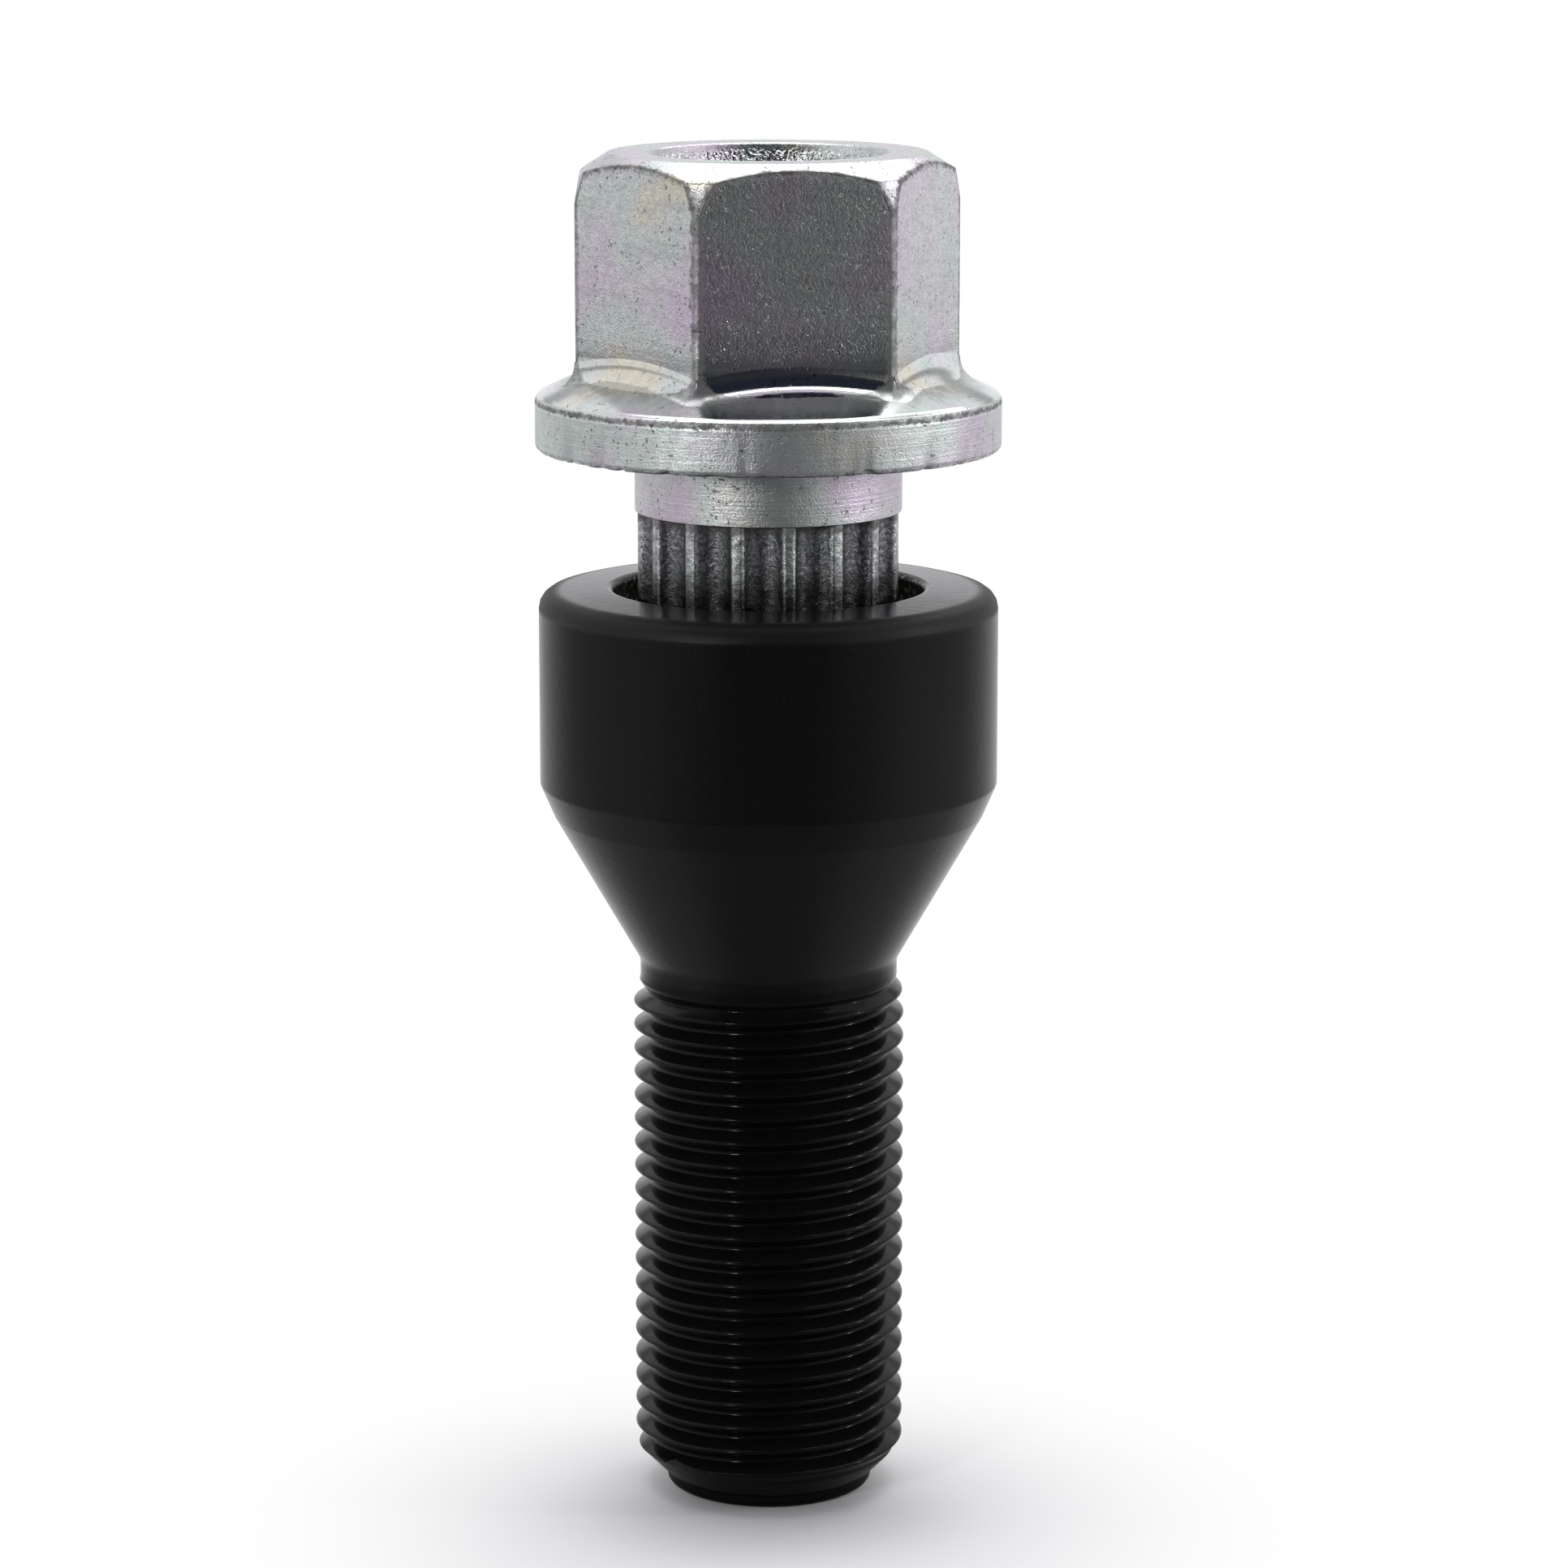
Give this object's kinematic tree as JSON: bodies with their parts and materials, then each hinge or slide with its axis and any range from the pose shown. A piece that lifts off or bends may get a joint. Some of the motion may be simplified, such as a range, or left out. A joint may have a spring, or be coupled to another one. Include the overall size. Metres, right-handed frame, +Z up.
{
  "type": "locking wheel bolt with key",
  "caption": "Black locking wheel bolt with a conical seat and a splined socket, with its zinc-plated hexagon key plugged in.",
  "frame": {"origin": "centre of the bolt's tip end face, on the common axis", "axes": "+Z up the common axis from the bolt's tip to the key's hexagon; one pair of the hexagon's flats faces along Y"},
  "size_m": [0.0234, 0.0234, 0.0691],
  "materials": {
    "black_coat": "gloss",
    "zinc_plate": "bright zinc plating, worn at the edges"
  },
  "bodies": {
    "bolt": {"lock_bolt": "black_coat"},
    "key": {"key": "zinc_plate"}
  },
  "joints": [
    {"name": "key_slide", "type": "slide", "parent": "bolt", "child": "key", "axis": [0, 0, 1], "range_m": [0, 0.007]}
  ]
}
